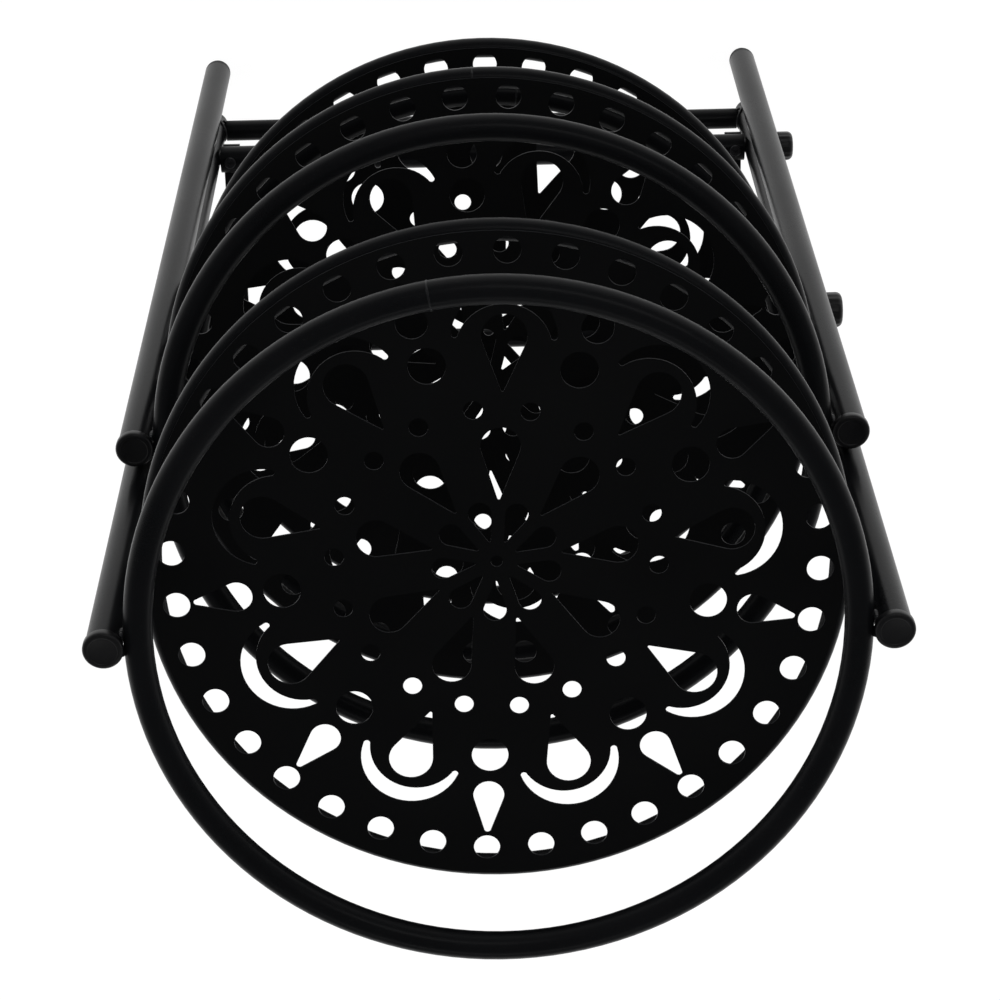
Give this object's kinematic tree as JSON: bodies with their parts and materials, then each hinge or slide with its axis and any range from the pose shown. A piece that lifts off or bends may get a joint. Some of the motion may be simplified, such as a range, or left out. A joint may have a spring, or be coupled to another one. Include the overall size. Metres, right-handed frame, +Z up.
{
  "type": "folding tiered tray stand",
  "caption": "Free-standing black steel tube stand with stepped round punched trays, guard hoops above them, swinging rear legs and a spreader.",
  "frame": {"origin": "on the floor, midway between the left and right posts and midway between the front-most and rear-most points of the trays and hoops", "axes": "+Z up, -Y towards the front, where the middle tier stands out, +X towards the viewer's right seen from the front"},
  "size_m": [0.4383, 0.419, 0.8489],
  "materials": {
    "frame_paint": "satin black powder coat",
    "tray_paint": "matt black powder coat on punched sheet",
    "cap_plastic": "moulded black plastic",
    "foot_rubber": "black rubber",
    "bush_nylon": "black nylon",
    "black_fasteners": "blackened steel"
  },
  "bodies": {
    "frame": {"top_guard_hoop": "frame_paint", "top_tray_rim": "frame_paint", "top_tray_sheet": "tray_paint", "middle_guard_hoop": "frame_paint", "middle_tray_rim": "frame_paint", "middle_tray_sheet": "tray_paint", "bottom_guard_hoop": "frame_paint", "bottom_tray_rim": "frame_paint", "bottom_tray_sheet": "tray_paint", "rear_post_left": "frame_paint", "rear_post_right": "frame_paint", "front_post_left": "frame_paint", "front_post_right": "frame_paint", "foot_crossbar": "frame_paint", "post_spacers": "frame_paint", "rear_post_top_caps": "cap_plastic", "rear_post_bottom_caps": "cap_plastic", "front_post_top_caps": "cap_plastic", "front_post_feet": "foot_rubber", "leg_hinge_plates_left": "frame_paint", "leg_hinge_plates_right": "frame_paint", "leg_pivot_bolts": "black_fasteners", "leg_pivot_nuts": "black_fasteners", "leg_pivot_washers": "black_fasteners", "leg_pivot_spacers": "bush_nylon", "spreader_axle": "black_fasteners", "spreader_axle_washer": "black_fasteners", "spreader_axle_nut": "black_fasteners"},
    "rear_legs": {"rear_leg_left": "frame_paint", "rear_leg_right": "frame_paint", "leg_crossbar": "frame_paint", "leg_top_plugs": "cap_plastic", "leg_feet": "foot_rubber"},
    "spreader": {"spreader_bar": "frame_paint", "spreader_bushes": "bush_nylon", "spreader_bush_screws": "black_fasteners", "spreader_arm_left": "frame_paint", "spreader_arm_right": "frame_paint", "spreader_rivets": "black_fasteners"}
  },
  "joints": [
    {"name": "leg_fold", "type": "hinge", "parent": "frame", "child": "rear_legs", "pos_m": [0, 0.00312, 0.3895], "axis": [-1, 0, 0], "range_deg": [0, 26]},
    {"name": "spreader_swing", "type": "hinge", "parent": "frame", "child": "spreader", "pos_m": [0, -0.03751, 0.134], "axis": [1, 0, 0], "range_deg": [0, 85]}
  ]
}
